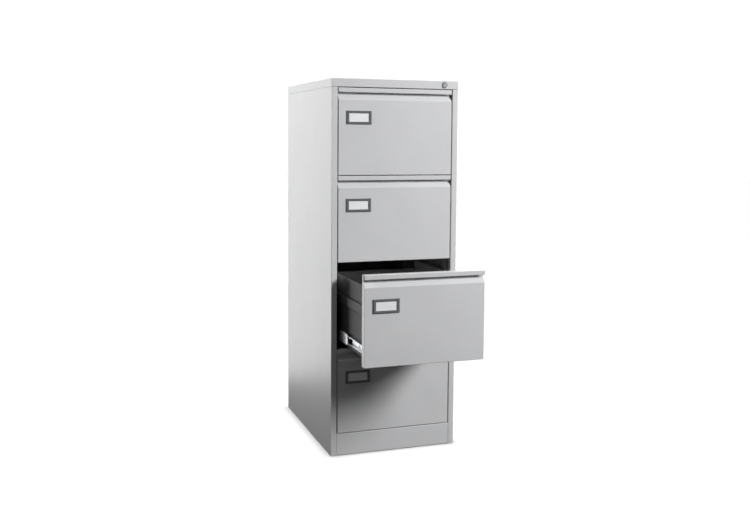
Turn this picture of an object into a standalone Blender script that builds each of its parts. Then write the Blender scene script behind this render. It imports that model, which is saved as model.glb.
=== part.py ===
"""Four-drawer steel filing cabinet, built as a Blender assembly of folded sheet pieces.

Frame: metres, +Z up, X to the right of someone facing the drawers, Y from front to back.
The origin is the middle of the carcase's footprint, on the floor. Drawer 1 is the top one,
and drawer 3 stands partly open.
"""
import math

import bmesh
import bpy
from mathutils import Vector

# ---------------------------------------------------------------- driving sizes (metres)
WIDTH = 0.470                  # carcase, outside
DEPTH = 0.622                  # carcase, drawer faces to back
HEIGHT = 1.321                 # floor to the top cover
DRAWER_COUNT = 4
SHEET = 0.0010                 # steel sheet of the carcase and drawers
FIT = 0.0003                   # gap kept between pieces that touch
BEND = 0.0020                  # outside radius of a folded corner
BEND_STEPS = 2                 # straight steps in a folded corner

COVER_SKIRT = 0.029            # turned-down edge of the top cover
COVER_SEAM = 0.0005            # fine seam under the cover's edge
COVER_RETURN = 0.012           # lip folded inward under the fascia
STILE_WIDTH = 0.0210           # front face of each side panel
STILE_RETURN = 0.018           # how far the stile folds back inside
REAR_FLANGE = 0.020            # side panel's fold at the back
PLINTH_HEIGHT = 0.0775
PLINTH_RETURN = 0.016
PLINTH_SIDE_GAP = 0.0005
BASE_FLANGE = 0.018
BACK_FLANGE = 0.012

FRONT_GAP = 0.0025             # between one drawer face and the next
FRONT_SIDE_GAP = 0.0035        # between a drawer face and the stile
FRONT_DEPTH = 0.0250           # thickness of the hollow drawer front
BAR_HEIGHT = 0.0160            # face of the grip bar along the front's top
BAR_HEM = 0.0030               # inward hem under the bar
RECESS_GAP = 0.0065            # slot between the bar and the slope
RECESS_DEPTH = 0.0135          # how far the recess wall lies behind the face
SLOPE_HEIGHT = 0.0185          # slope from the recess wall out to the flat panel

TRAY_SIDE_GAP = 0.0190         # drawer body's side to the edge of the stile
TRAY_RISE = 0.0200             # drawer body's floor above the front's lower edge
TRAY_TOP_DROP = 0.0440         # body's top edge below the front's upper edge
TRAY_REAR_GAP = 0.0300         # body's rear wall to the back of the carcase
TRAY_BACK_DROP = 0.0300        # rear wall below the side walls
HEM_WIDTH = 0.0012             # outward hem that hanging files hook over
HEM_DROP = 0.0090
RIB_DROP = 0.0635              # side rib's upper edge below the body's upper edge
RIB_HEIGHT = 0.0310
RIB_PROUD = 0.0040
RIB_SLOPE = 0.0040
GROOVE_HEIGHT = 0.0060
GROOVE_DEPTH = 0.0025
FLOOR_BEAD_WIDTH = 0.0300      # stiffening beads along the drawer body's floor
FLOOR_BEAD_RISE = 0.0030
FLOOR_BEAD_CENTRE = 0.1000

SLIDE_RISE = 0.0520            # slide's centre line above the front's lower edge
SLIDE_START = 0.0450           # slide's front end behind the drawer face
SLIDE_REAR_GAP = 0.0320        # slide's rear end to the back of the carcase
SLIDE_SHEET = 0.0012
SLIDE_BEND = 0.0018            # outside radius of the members' folds
SLIDE_WIDTH = 0.0127           # body wall to upright, across all three members
OUTER_HEIGHT = 0.0455
BALL_SPACE = 0.0032            # room for the balls between two members' flanges
MEMBER_STEP = 0.0004           # clearance between the webs of two members
INNER_GAP = 0.0030             # inner member starts this far behind the drawer front
LIP = 0.0026                   # curled lip along each member's edges
OPENED = (0.0, 0.0, 0.2900, 0.0)   # how far each drawer stands open
MIDDLE_SHARE = 0.5             # a middle member travels half as far as its drawer

POST_DEPTH = 0.0350            # inner uprights, front to back
POST_REAR_GAP = 0.0570         # rear uprights to the back of the carcase

LABEL_WIDTH = 0.0910
LABEL_HEIGHT = 0.0465
LABEL_PROUD = 0.0032
LABEL_WINDOW_WIDTH = 0.0710
LABEL_WINDOW_HEIGHT = 0.0290
LABEL_LEFT = 0.0280            # holder's left edge from the front's left edge
LABEL_DROP = 0.0785            # holder's upper edge below the front's upper edge
LABEL_CHAMFER = 0.0016
CARD_MARGIN = 0.0030           # card reaches this far behind the frame
CARD_THICKNESS = 0.0005
CARD_POCKET = 0.0012

LOCK_INSET = 0.0530            # lock's axis from the carcase's right side
LOCK_FLANGE_RADIUS = 0.0110
LOCK_FLANGE_PROUD = 0.0022
LOCK_BODY_RADIUS = 0.0090
PLUG_RADIUS = 0.0070
PLUG_CLEARANCE = 0.0001
PLUG_PROUD = 0.0012
KEYWAY_WIDTH = 0.0015
KEYWAY_HEIGHT = 0.0070
KEYWAY_DEPTH = 0.0120
CAM_THICKNESS = 0.0020
CAM_GAP = 0.0019               # cam to the locking bar behind it
CAM_THROW = 0.0080             # crank pin's distance from the lock's axis
CAM_REST = math.radians(-135)  # crank pin's direction when unlocked, seen from the front
CRANK_PIN_RADIUS = 0.0020
CRANK_SLOT_CLEARANCE = 0.00045
BAR_PLATE = 0.0020             # locking bar's thickness
BAR_WIDTH = 0.0140
BAR_SIDE_GAP = 0.0030          # locking bar to the side panel
BAR_ARM_HEIGHT = 0.0120
BAR_GAP = 0.0015               # locking bar behind the hollow drawer fronts
BAR_BOTTOM = 0.1200
TONGUE_LAP = 0.0055            # how far a tongue laps its catch from the side
TONGUE_HEIGHT = 0.0100
CATCH_RISE = 0.1200            # catch's centre above the front's lower edge
CATCH_HEIGHT = 0.0160
CATCH_GAP = 0.0025             # catch behind the locking bar
CATCH_CLEARANCE = 0.0010       # catch to the edge of the stile as it passes
GUIDE_HEIGHT = 0.0120
GUIDE_LEVELS = (("lower", 0.3500), ("upper", 0.9500))
GUIDE_WALL = 0.0021

ROUND_STEPS = 24               # sides of the round lock pieces

# ---------------------------------------------------------------- sizes that follow
HALF_WIDTH = WIDTH / 2
COVER_BOTTOM = HEIGHT - COVER_SKIRT
OPENING_HALF = HALF_WIDTH - STILE_WIDTH
FRONT_HALF = OPENING_HALF - FRONT_SIDE_GAP
TRAY_HALF_WIDTH = OPENING_HALF - TRAY_SIDE_GAP
PITCH = (COVER_BOTTOM - FRONT_GAP - PLINTH_HEIGHT) / DRAWER_COUNT
FRONT_HEIGHT = PITCH - FRONT_GAP
BAR_BOTTOM_Z = FRONT_HEIGHT - BAR_HEIGHT
SLOPE_TOP_Z = BAR_BOTTOM_Z - RECESS_GAP
PANEL_TOP_Z = SLOPE_TOP_Z - SLOPE_HEIGHT
TRAY_FRONT = FRONT_DEPTH + FIT
TRAY_REAR = DEPTH - TRAY_REAR_GAP
TRAY_TOP_Z = FRONT_HEIGHT - TRAY_TOP_DROP
SLIDE_END = DEPTH - SLIDE_REAR_GAP
MIDDLE_HEIGHT = OUTER_HEIGHT - 2 * (SLIDE_SHEET + BALL_SPACE)
INNER_HEIGHT = MIDDLE_HEIGHT - 2 * (SLIDE_SHEET + BALL_SPACE)
INNER_START = FRONT_DEPTH + INNER_GAP
SLIDE_INSIDE = TRAY_HALF_WIDTH + FIT
SLIDE_OUTSIDE = SLIDE_INSIDE + SLIDE_WIDTH
POST_FACE = SLIDE_OUTSIDE + FIT
POST_FRONT = SLIDE_START
POST_REAR = DEPTH - POST_REAR_GAP - POST_DEPTH
SIDE_INNER = HALF_WIDTH - SHEET
PANEL_TOP = COVER_BOTTOM - COVER_SEAM
LOCK_X = HALF_WIDTH - LOCK_INSET
LOCK_Z = HEIGHT - COVER_SKIRT / 2
BAR_SETBACK = FRONT_DEPTH + BAR_GAP
CATCH_SETBACK = BAR_SETBACK + BAR_PLATE + CATCH_GAP
LOCK_BODY_LENGTH = BAR_SETBACK - CAM_GAP - CAM_THICKNESS - 2 * FIT
BAR_OUTER_X = SIDE_INNER - BAR_SIDE_GAP
BAR_INNER_X = BAR_OUTER_X - BAR_WIDTH
CATCH_TIP = OPENING_HALF - CATCH_CLEARANCE
TONGUE_TIP = CATCH_TIP - TONGUE_LAP


# ---------------------------------------------------------------- scene helpers
def clear_scene():
    for item in list(bpy.data.objects):
        bpy.data.objects.remove(item, do_unlink=True)


def new_collection(name):
    group = bpy.data.collections.new(name)
    bpy.context.scene.collection.children.link(group)
    return group


def principled(name, colour, roughness, metallic):
    material = bpy.data.materials.new(name)
    material.use_nodes = True
    shader = material.node_tree.nodes["Principled BSDF"]
    shader.inputs["Base Color"].default_value = (*colour, 1.0)
    shader.inputs["Roughness"].default_value = roughness
    shader.inputs["Metallic"].default_value = metallic
    return material


def new_empty(name, location, parent=None):
    empty = bpy.data.objects.new(name, None)
    empty.empty_display_size = 0.03
    empty.location = location
    empty.parent = parent
    parts.objects.link(empty)
    return empty


def finish_mesh(name, bm, look, parent, location=(0, 0, 0)):
    """Turn a bmesh into a named object with its own material, under its parent."""
    mesh = bpy.data.meshes.new(name)
    bm.to_mesh(mesh)
    bm.free()
    piece = bpy.data.objects.new(name, mesh)
    piece.parent = parent
    piece.location = location
    if look is None:
        piece.display_type = "WIRE"
        piece.hide_render = True
        cutters.objects.link(piece)
    else:
        colour, roughness, metallic = look
        mesh.materials.append(principled(name, colour, roughness, metallic))
        parts.objects.link(piece)
    return piece


# ---------------------------------------------------------------- modelling helpers
def rounded_path(points, radius=BEND, steps=BEND_STEPS):
    """An open 2D path with every inner corner turned into an arc."""
    path = [Vector(points[0])]
    for before, corner, after in zip(points, points[1:], points[2:]):
        corner = Vector(corner)
        back = (Vector(before) - corner).normalized()
        ahead = (Vector(after) - corner).normalized()
        half = back.angle(ahead) / 2
        centre = corner + (back + ahead).normalized() * (radius / math.sin(half))
        first = corner + back * (radius / math.tan(half)) - centre
        last = corner + ahead * (radius / math.tan(half)) - centre
        start = math.atan2(first.y, first.x)
        turn = math.remainder(math.atan2(last.y, last.x) - start, 2 * math.pi)
        for step in range(steps + 1):
            angle = start + turn * step / steps
            path.append(centre + Vector((math.cos(angle), math.sin(angle))) * radius)
    path.append(Vector(points[-1]))
    return path


def place(axis, first, second, along):
    """A 3D point from a path's two coordinates and the distance along the sweep's axis."""
    return {"X": (along, first, second), "Y": (first, along, second), "Z": (first, second, along)}[axis]


def face_towards(bm, face, direction):
    """Make all faces agree, and turn them so that the given one faces a direction."""
    bmesh.ops.recalc_face_normals(bm, faces=bm.faces[:])
    if face.normal.dot(direction) < 0:
        bmesh.ops.reverse_faces(bm, faces=bm.faces[:])


def swept_surface(path, axis, start, end, thick_side):
    """An open surface: the path drawn out along an axis, facing away from its thick side.

    Returns the surface and the rows of points at its two ends, in the path's order.
    """
    bm = bmesh.new()
    verts = [bm.verts.new(place(axis, first, second, start)) for first, second in path]
    edges = [bm.edges.new(pair) for pair in zip(verts, verts[1:])]
    swept = bmesh.ops.extrude_edge_only(bm, edges=edges)
    moved = [item for item in swept["geom"] if isinstance(item, bmesh.types.BMVert)]
    far_row = [next(edge.other_vert(vert) for edge in vert.link_edges if edge.other_vert(vert) in moved)
               for vert in verts]
    direction = Vector(place(axis, 0, 0, 1))
    bmesh.ops.translate(bm, verts=moved, vec=direction * (end - start))
    right_side = (verts[1].co - verts[0].co).cross(direction) * (-1 if axis == "Y" else 1)
    face_towards(bm, verts[0].link_faces[0], right_side if thick_side == "left" else -right_side)
    return bm, (verts, far_row)


def thicken(piece, thickness):
    solidify = piece.modifiers.new("Sheet", "SOLIDIFY")
    solidify.thickness = thickness
    solidify.offset = -1
    solidify.use_even_offset = True


def folded_sheet(name, path, axis, span, thick_side, look, parent, thickness=SHEET):
    """A strip of sheet metal folded along a path, as long as the span."""
    surface, _ = swept_surface(path, axis, span[0], span[1], thick_side)
    piece = finish_mesh(name, surface, look, parent)
    thicken(piece, thickness)
    return piece


def box_mesh(low, high):
    bm = bmesh.new()
    bmesh.ops.create_cube(bm, size=1)
    size = Vector(high) - Vector(low)
    bmesh.ops.scale(bm, vec=size, verts=bm.verts)
    bmesh.ops.translate(bm, vec=(Vector(low) + Vector(high)) / 2, verts=bm.verts)
    return bm


def block(name, low, high, look, parent, location=(0, 0, 0)):
    return finish_mesh(name, box_mesh(low, high), look, parent, location)


def rod_mesh(radius, front, back, centre=(0, 0), steps=ROUND_STEPS):
    """A round bar along Y, from its front end to its back end."""
    bm = bmesh.new()
    bmesh.ops.create_cone(bm, cap_ends=True, segments=steps, radius1=radius, radius2=radius,
                          depth=back - front)
    bmesh.ops.rotate(bm, verts=bm.verts, cent=(0, 0, 0), matrix=ROD_TURN)
    bmesh.ops.translate(bm, verts=bm.verts, vec=(centre[0], (front + back) / 2, centre[1]))
    return bm


def rod(name, radius, front, back, look, parent, location=(0, 0, 0), centre=(0, 0)):
    return finish_mesh(name, rod_mesh(radius, front, back, centre), look, parent, location)


def hull_of(*shapes):
    """The convex shape round several bmeshes, which it frees."""
    hull = bmesh.new()
    for shape in shapes:
        for vert in shape.verts:
            hull.verts.new(vert.co)
        shape.free()
    wrapped = bmesh.ops.convex_hull(hull, input=hull.verts[:])
    inside = [item for item in wrapped["geom_interior"] if isinstance(item, bmesh.types.BMVert)]
    bmesh.ops.delete(hull, geom=inside, context="VERTS")
    return hull


def boolean(piece, other, operation):
    modifier = piece.modifiers.new(operation.title(), "BOOLEAN")
    modifier.operation = operation
    modifier.object = other
    modifier.solver = "EXACT"


def cut(piece, cutter):
    boolean(piece, cutter, "DIFFERENCE")


def join(piece, other):
    boolean(piece, other, "UNION")


def mirrored(path, side):
    """A path drawn for the right-hand side, or its mirror image for the left."""
    return [(first * side, second) for first, second in path]


ROD_TURN = Vector((0, 0, 1)).rotation_difference(Vector((0, 1, 0))).to_matrix()
SIDES = (("left", -1), ("right", 1))

PAINT = ((0.600, 0.605, 0.615), 0.42, 0.0)
ZINC = ((0.620, 0.630, 0.640), 0.32, 1.0)
LABEL_GREY = ((0.130, 0.135, 0.142), 0.45, 0.0)
CARD_WHITE = ((0.820, 0.825, 0.835), 0.60, 0.0)
CHROME = ((0.660, 0.660, 0.670), 0.18, 1.0)
PLASTIC = ((0.035, 0.035, 0.038), 0.50, 0.0)


# ---------------------------------------------------------------- carcase
def side_panel(side_name, side, parent):
    """Side wall, front stile and rear flange, folded from one sheet."""
    path = [(OPENING_HALF, STILE_RETURN), (OPENING_HALF, 0), (HALF_WIDTH, 0),
            (HALF_WIDTH, DEPTH), (HALF_WIDTH - REAR_FLANGE, DEPTH)]
    thick_side = "left" if side > 0 else "right"
    folded_sheet(f"{side_name}_side_panel", rounded_path(mirrored(path, side)), "Z",
                 (0, PANEL_TOP), thick_side, PAINT, parent)


def back_panel(parent):
    rear = DEPTH - SHEET - FIT
    half = SIDE_INNER - FIT
    path = [(-half, rear - BACK_FLANGE), (-half, rear), (half, rear), (half, rear - BACK_FLANGE)]
    folded_sheet("back_panel", rounded_path(path), "Z", (SHEET + FIT, PANEL_TOP), "right", PAINT, parent)


def top_cover(parent):
    """Cap with turned-down edges and a lip under the fascia, pierced for the lock."""
    bm = box_mesh((-HALF_WIDTH, 0, COVER_BOTTOM), (HALF_WIDTH, DEPTH, HEIGHT))
    bottom = [face for face in bm.faces if face.normal.z < -0.5]
    bmesh.ops.delete(bm, geom=bottom, context="FACES_ONLY")
    lower_front = [edge for edge in bm.edges
                   if all(v.co.y < FIT and v.co.z < COVER_BOTTOM + FIT for v in edge.verts)]
    lip = bmesh.ops.extrude_edge_only(bm, edges=lower_front)
    lip_verts = [item for item in lip["geom"] if isinstance(item, bmesh.types.BMVert)]
    bmesh.ops.translate(bm, verts=lip_verts, vec=(0, COVER_RETURN, 0))
    bmesh.ops.scale(bm, verts=lip_verts, vec=(1 - COVER_RETURN / HALF_WIDTH, 1, 1))
    bmesh.ops.recalc_face_normals(bm, faces=bm.faces[:])
    cover = finish_mesh("top_cover", bm, PAINT, parent)
    bevel = cover.modifiers.new("Folds", "BEVEL")
    bevel.width = BEND
    bevel.segments = BEND_STEPS
    bevel.limit_method = "ANGLE"
    thicken(cover, SHEET)
    hole = rod("lock_hole", LOCK_BODY_RADIUS + FIT, -SHEET, 3 * SHEET, None, parent, (LOCK_X, 0, LOCK_Z))
    cut(cover, hole)


def plinth(parent):
    """Kick panel between the stiles, with a fold at the floor and one at the top."""
    half = OPENING_HALF - PLINTH_SIDE_GAP
    path = [(PLINTH_RETURN, 0), (0, 0), (0, PLINTH_HEIGHT), (PLINTH_RETURN, PLINTH_HEIGHT)]
    folded_sheet("plinth", rounded_path(path), "X", (-half, half), "right", PAINT, parent)


def base_pan(parent):
    """Floor plate of the carcase, flush with the lower edges of the side panels."""
    front = PLINTH_RETURN + FIT
    rear = DEPTH - BEND - FIT
    half = SIDE_INNER - FIT
    path = [(front, BASE_FLANGE), (front, 0), (rear, 0)]
    pan = folded_sheet("base_pan", rounded_path(path), "X", (-half, half), "left", PAINT, parent)
    for side_name, side in SIDES:
        inner = OPENING_HALF - FIT
        notch_low = (min(side * inner, side * HALF_WIDTH), 0, -SHEET)
        notch_high = (max(side * inner, side * HALF_WIDTH), STILE_RETURN + FIT, BASE_FLANGE + SHEET)
        cut(pan, block(f"{side_name}_stile_notch", notch_low, notch_high, None, parent))


def upright(side_name, side, place_name, front, parent):
    """Channel post inside the side wall that carries the fixed slide members."""
    outer = SIDE_INNER - FIT
    path = [(outer, front), (POST_FACE, front), (POST_FACE, front + POST_DEPTH), (outer, front + POST_DEPTH)]
    thick_side = "right" if side > 0 else "left"
    folded_sheet(f"{side_name}_{place_name}_upright", rounded_path(mirrored(path, side)), "Z",
                 (SHEET + FIT, PANEL_TOP), thick_side, PAINT, parent)


# ---------------------------------------------------------------- slides
def slide_member(name, web, reach, height, rise, span, side, toward, parent):
    """One channel of a slide: a web on end, with curled lips, open towards +1 or -1."""
    half = height / 2
    tip = web + toward * reach
    path = [(tip, rise + half - LIP), (tip, rise + half), (web, rise + half),
            (web, rise - half), (tip, rise - half), (tip, rise - half + LIP)]
    thick_side = "left" if toward * side > 0 else "right"
    bends = rounded_path(path, SLIDE_BEND)
    folded_sheet(name, mirrored(bends, side), "Y", span, thick_side, ZINC, parent, SLIDE_SHEET)


def cabinet_member(number, side_name, side, bottom, parent):
    reach = SLIDE_WIDTH - 2 * SLIDE_SHEET
    slide_member(f"drawer_{number}_{side_name}_cabinet_rail", SLIDE_OUTSIDE, reach, OUTER_HEIGHT,
                 bottom + SLIDE_RISE, (SLIDE_START, SLIDE_END), side, -1, parent)


def middle_member(number, side_name, side, parent):
    web = SLIDE_OUTSIDE - SLIDE_SHEET - MEMBER_STEP
    reach = web - SLIDE_INSIDE - SLIDE_SHEET - MEMBER_STEP
    slide_member(f"drawer_{number}_{side_name}_middle_rail", web, reach, MIDDLE_HEIGHT,
                 SLIDE_RISE, (SLIDE_START, SLIDE_END), side, -1, parent)


def inner_member(number, side_name, side, parent):
    reach = SLIDE_WIDTH - 2 * (SLIDE_SHEET + MEMBER_STEP)
    slide_member(f"drawer_{number}_{side_name}_drawer_rail", SLIDE_INSIDE, reach, INNER_HEIGHT,
                 SLIDE_RISE, (INNER_START, SLIDE_END), side, 1, parent)


# ---------------------------------------------------------------- drawers
def drawer_front(number, parent):
    """Pressed face: flat panel, slope, recess wall and grip bar, with folded-back sides."""
    outer = [(FRONT_DEPTH, 0), (0, 0), (0, PANEL_TOP_Z), (RECESS_DEPTH, SLOPE_TOP_Z),
             (RECESS_DEPTH, FRONT_HEIGHT - SHEET), (SHEET, FRONT_HEIGHT - SHEET),
             (SHEET, BAR_BOTTOM_Z + SHEET), (SHEET + BAR_HEM, BAR_BOTTOM_Z + SHEET)]
    bm, rows = swept_surface(rounded_path(outer), "X", -FRONT_HALF, FRONT_HALF, "right")
    corners_below_bar = 3
    flange_points = 2 + corners_below_bar * (BEND_STEPS + 1)
    for row, side in zip(rows, (-1, 1)):
        rim = row[:flange_points]
        rear_top = bm.verts.new((side * FRONT_HALF, FRONT_DEPTH, rim[-1].co.z))
        flange = bm.faces.new(rim + [rear_top])
        face_towards(bm, flange, Vector((side, 0, 0)))
    front = finish_mesh(f"drawer_{number}_front", bm, PAINT, parent)
    thicken(front, SHEET)


def front_liner(number, parent):
    """Flat plate that closes the back of the hollow drawer front."""
    half = FRONT_HALF - SHEET - FIT
    recess_back = RECESS_DEPTH + SHEET + FIT
    back = FRONT_DEPTH
    low = SHEET + FIT
    path = [(recess_back, low), (back, low), (back, FRONT_HEIGHT), (recess_back, FRONT_HEIGHT)]
    folded_sheet(f"drawer_{number}_front_liner", rounded_path(path), "X", (-half, half), "left",
                 PAINT, parent)


def drawer_tray(number, parent):
    """Drawer body: floor and ribbed side walls from one sheet, a rear wall and the lock catch."""
    wall = TRAY_HALF_WIDTH
    floor = TRAY_RISE
    rib_high = TRAY_TOP_Z - RIB_DROP
    rib_low = rib_high - RIB_HEIGHT
    bead_low = FLOOR_BEAD_CENTRE - FLOOR_BEAD_WIDTH / 2
    bead_high = FLOOR_BEAD_CENTRE + FLOOR_BEAD_WIDTH / 2
    half = [(bead_low - FLOOR_BEAD_RISE, floor), (bead_low, floor + FLOOR_BEAD_RISE),
            (bead_high, floor + FLOOR_BEAD_RISE), (bead_high + FLOOR_BEAD_RISE, floor),
            (wall, floor), (wall, rib_low - RIB_SLOPE), (wall + RIB_PROUD, rib_low),
            (wall + RIB_PROUD, rib_high), (wall - GROOVE_DEPTH, rib_high),
            (wall - GROOVE_DEPTH, rib_high + GROOVE_HEIGHT), (wall, rib_high + GROOVE_HEIGHT),
            (wall, TRAY_TOP_Z), (wall + HEM_WIDTH, TRAY_TOP_Z), (wall + HEM_WIDTH, TRAY_TOP_Z - HEM_DROP)]
    outline = [(-first, second) for first, second in reversed(half)] + half
    tray = folded_sheet(f"drawer_{number}_tray", outline, "Y", (TRAY_FRONT, TRAY_REAR), "left", PAINT, parent)
    inset = SHEET / 2
    rear_low = (-wall + inset, TRAY_REAR - SHEET, floor + inset)
    rear_high = (wall - inset, TRAY_REAR, TRAY_TOP_Z - TRAY_BACK_DROP)
    join(tray, block(f"rear_wall_{number}", rear_low, rear_high, None, parent))
    catch_low = (wall - SHEET / 2, CATCH_SETBACK, CATCH_RISE - CATCH_HEIGHT / 2)
    catch_high = (CATCH_TIP, CATCH_SETBACK + BAR_PLATE, CATCH_RISE + CATCH_HEIGHT / 2)
    join(tray, block(f"catch_{number}", catch_low, catch_high, None, parent))


def label_holder(number, parent):
    """Bevelled frame on the drawer face, with a pocket behind it for the card."""
    centre_x = -FRONT_HALF + LABEL_LEFT + LABEL_WIDTH / 2
    centre_z = FRONT_HEIGHT - LABEL_DROP - LABEL_HEIGHT / 2
    middle = Vector((centre_x, 0, centre_z))

    def around(width, height, front, back):
        spread = Vector((width / 2, 0, height / 2))
        return middle - spread + Vector((0, front, 0)), middle + spread + Vector((0, back, 0))

    low, high = around(LABEL_WIDTH, LABEL_HEIGHT, -LABEL_PROUD, -FIT)
    bm = box_mesh(low, high)
    rim = [edge for edge in bm.edges if all(v.co.y < -LABEL_PROUD + FIT for v in edge.verts)]
    bmesh.ops.bevel(bm, geom=rim, offset=LABEL_CHAMFER, segments=1, affect="EDGES", profile=0.5)
    holder = finish_mesh(f"drawer_{number}_label_holder", bm, LABEL_GREY, parent)
    low, high = around(LABEL_WINDOW_WIDTH, LABEL_WINDOW_HEIGHT, -2 * LABEL_PROUD, LABEL_PROUD)
    cut(holder, block(f"label_window_{number}", low, high, None, parent))
    card_width = LABEL_WINDOW_WIDTH + 2 * CARD_MARGIN
    card_height = LABEL_WINDOW_HEIGHT + 2 * CARD_MARGIN
    low, high = around(card_width + 2 * FIT, card_height + 2 * FIT, -FIT - CARD_POCKET, LABEL_PROUD)
    cut(holder, block(f"label_pocket_{number}", low, high, None, parent))
    low, high = around(card_width, card_height, -2 * FIT - CARD_THICKNESS, -2 * FIT)
    block(f"drawer_{number}_label_card", low, high, CARD_WHITE, parent)


def drawer(number, cabinet):
    """One drawer, its slides and its middle members, on empties that travel along Y."""
    bottom = PLINTH_HEIGHT + FRONT_GAP + PITCH * (DRAWER_COUNT - number)
    opened = OPENED[number - 1]
    moving = new_empty(f"drawer_{number}_slide", (0, -opened, bottom), cabinet)
    halfway = new_empty(f"drawer_{number}_middle_slide", (0, -opened * MIDDLE_SHARE, bottom), cabinet)
    drawer_front(number, moving)
    front_liner(number, moving)
    drawer_tray(number, moving)
    label_holder(number, moving)
    for side_name, side in SIDES:
        cabinet_member(number, side_name, side, bottom, cabinet)
        middle_member(number, side_name, side, halfway)
        inner_member(number, side_name, side, moving)


# ---------------------------------------------------------------- lock
def lock(cabinet):
    """Cam lock in the fascia: fixed housing, turning plug and cam with a crank pin."""
    fixed = new_empty("lock_axis", (LOCK_X, 0, LOCK_Z), cabinet)
    housing = rod("lock_housing", LOCK_BODY_RADIUS, -2 * FIT, LOCK_BODY_LENGTH, CHROME, fixed)
    join(housing, rod("lock_flange", LOCK_FLANGE_RADIUS, -LOCK_FLANGE_PROUD, -FIT, None, fixed))
    cut(housing, rod("lock_bore", PLUG_RADIUS + PLUG_CLEARANCE, -0.01, 2 * LOCK_BODY_LENGTH, None, fixed))
    plug_front = -LOCK_FLANGE_PROUD - PLUG_PROUD
    plug = rod("lock_plug", PLUG_RADIUS, plug_front, LOCK_BODY_LENGTH + FIT, CHROME, fixed)
    keyway_low = (-KEYWAY_WIDTH / 2, 2 * plug_front, -KEYWAY_HEIGHT / 2)
    keyway_high = (KEYWAY_WIDTH / 2, plug_front + KEYWAY_DEPTH, KEYWAY_HEIGHT / 2)
    cut(plug, block("keyway", keyway_low, keyway_high, None, fixed))
    cam_front = LOCK_BODY_LENGTH + 2 * FIT
    pin = Vector((math.cos(CAM_REST), math.sin(CAM_REST))) * CAM_THROW
    cam_bm = hull_of(rod_mesh(PLUG_RADIUS, cam_front, cam_front + CAM_THICKNESS),
                     rod_mesh(2 * CRANK_PIN_RADIUS, cam_front, cam_front + CAM_THICKNESS, pin))
    cam = finish_mesh("lock_cam", cam_bm, ZINC, fixed)
    pin_back = BAR_SETBACK + 2 * BAR_PLATE
    join(cam, rod("crank_pin", CRANK_PIN_RADIUS, cam_front + FIT, pin_back, None, fixed, centre=pin))


def locking_bar(cabinet):
    """Flat bar behind the right stile that the crank pin lifts, with a tongue for each drawer."""
    pin_x = LOCK_X + math.cos(CAM_REST) * CAM_THROW
    pin_z = LOCK_Z + math.sin(CAM_REST) * CAM_THROW
    arm_low = pin_z - BAR_ARM_HEIGHT / 2
    arm_high = pin_z + BAR_ARM_HEIGHT / 2
    farthest = LOCK_X - CAM_THROW
    front = BAR_SETBACK
    back = BAR_SETBACK + BAR_PLATE
    slide = new_empty("locking_bar_slide", (BAR_INNER_X, BAR_SETBACK, 0), cabinet)
    origin = Vector((BAR_INNER_X, BAR_SETBACK, 0))

    def local(point):
        return Vector(point) - origin

    bar = block("locking_bar", local((BAR_INNER_X, front, BAR_BOTTOM)), local((BAR_OUTER_X, back, arm_high)),
                ZINC, slide)
    arm_left = farthest - 3 * CRANK_PIN_RADIUS
    join(bar, block("bar_arm", local((arm_left, front, arm_low)),
                    local((BAR_INNER_X + SHEET, back, arm_high)), None, slide))
    slot_half = CRANK_PIN_RADIUS + CRANK_SLOT_CLEARANCE
    cut(bar, block("bar_slot", local((farthest - slot_half, front - SHEET, pin_z - slot_half)),
                   local((pin_x + slot_half, back + SHEET, pin_z + slot_half)), None, slide))
    for number in range(1, DRAWER_COUNT + 1):
        bottom = PLINTH_HEIGHT + FRONT_GAP + PITCH * (DRAWER_COUNT - number)
        top = bottom + CATCH_RISE - CATCH_HEIGHT / 2 - SHEET
        tongue_low = (TONGUE_TIP, front, top - TONGUE_HEIGHT)
        join(bar, block(f"tongue_{number}", local(tongue_low), local((BAR_INNER_X + SHEET, back, top)),
                        None, slide))


def bar_guide(place_name, level, cabinet):
    """Moulded guide on the front upright that keeps the locking bar upright."""
    low = (BAR_INNER_X - FIT - GUIDE_WALL, BAR_SETBACK - FIT - GUIDE_WALL, level - GUIDE_HEIGHT / 2)
    high = (SIDE_INNER - FIT, POST_FRONT - FIT, level + GUIDE_HEIGHT / 2)
    guide = block(f"locking_bar_{place_name}_guide", low, high, PLASTIC, cabinet)
    slot_low = (BAR_INNER_X - FIT, BAR_SETBACK - FIT, level - GUIDE_HEIGHT)
    slot_high = (BAR_OUTER_X + FIT, BAR_SETBACK + BAR_PLATE + FIT, level + GUIDE_HEIGHT)
    cut(guide, block(f"{place_name}_guide_slot", slot_low, slot_high, None, cabinet))


# ---------------------------------------------------------------- assembly
clear_scene()
parts = new_collection("filing_cabinet")
cutters = new_collection("filing_cabinet_cutters")
carcase = new_empty("carcase", (0, -DEPTH / 2, 0))
for panel_name, panel_side in SIDES:
    side_panel(panel_name, panel_side, carcase)
    upright(panel_name, panel_side, "front", POST_FRONT, carcase)
    upright(panel_name, panel_side, "rear", POST_REAR, carcase)
back_panel(carcase)
top_cover(carcase)
plinth(carcase)
base_pan(carcase)
lock(carcase)
locking_bar(carcase)
for guide_name, guide_level in GUIDE_LEVELS:
    bar_guide(guide_name, guide_level, carcase)
for drawer_number in range(1, DRAWER_COUNT + 1):
    drawer(drawer_number, carcase)
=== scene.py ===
"""Looks of a four-drawer steel filing cabinet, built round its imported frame.

Frame: metres, +Z up, X to the right of someone facing the drawers, Y from front to back, floor at zero.
"""
import math

import bmesh
import bpy
from mathutils import Matrix, Vector


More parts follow.
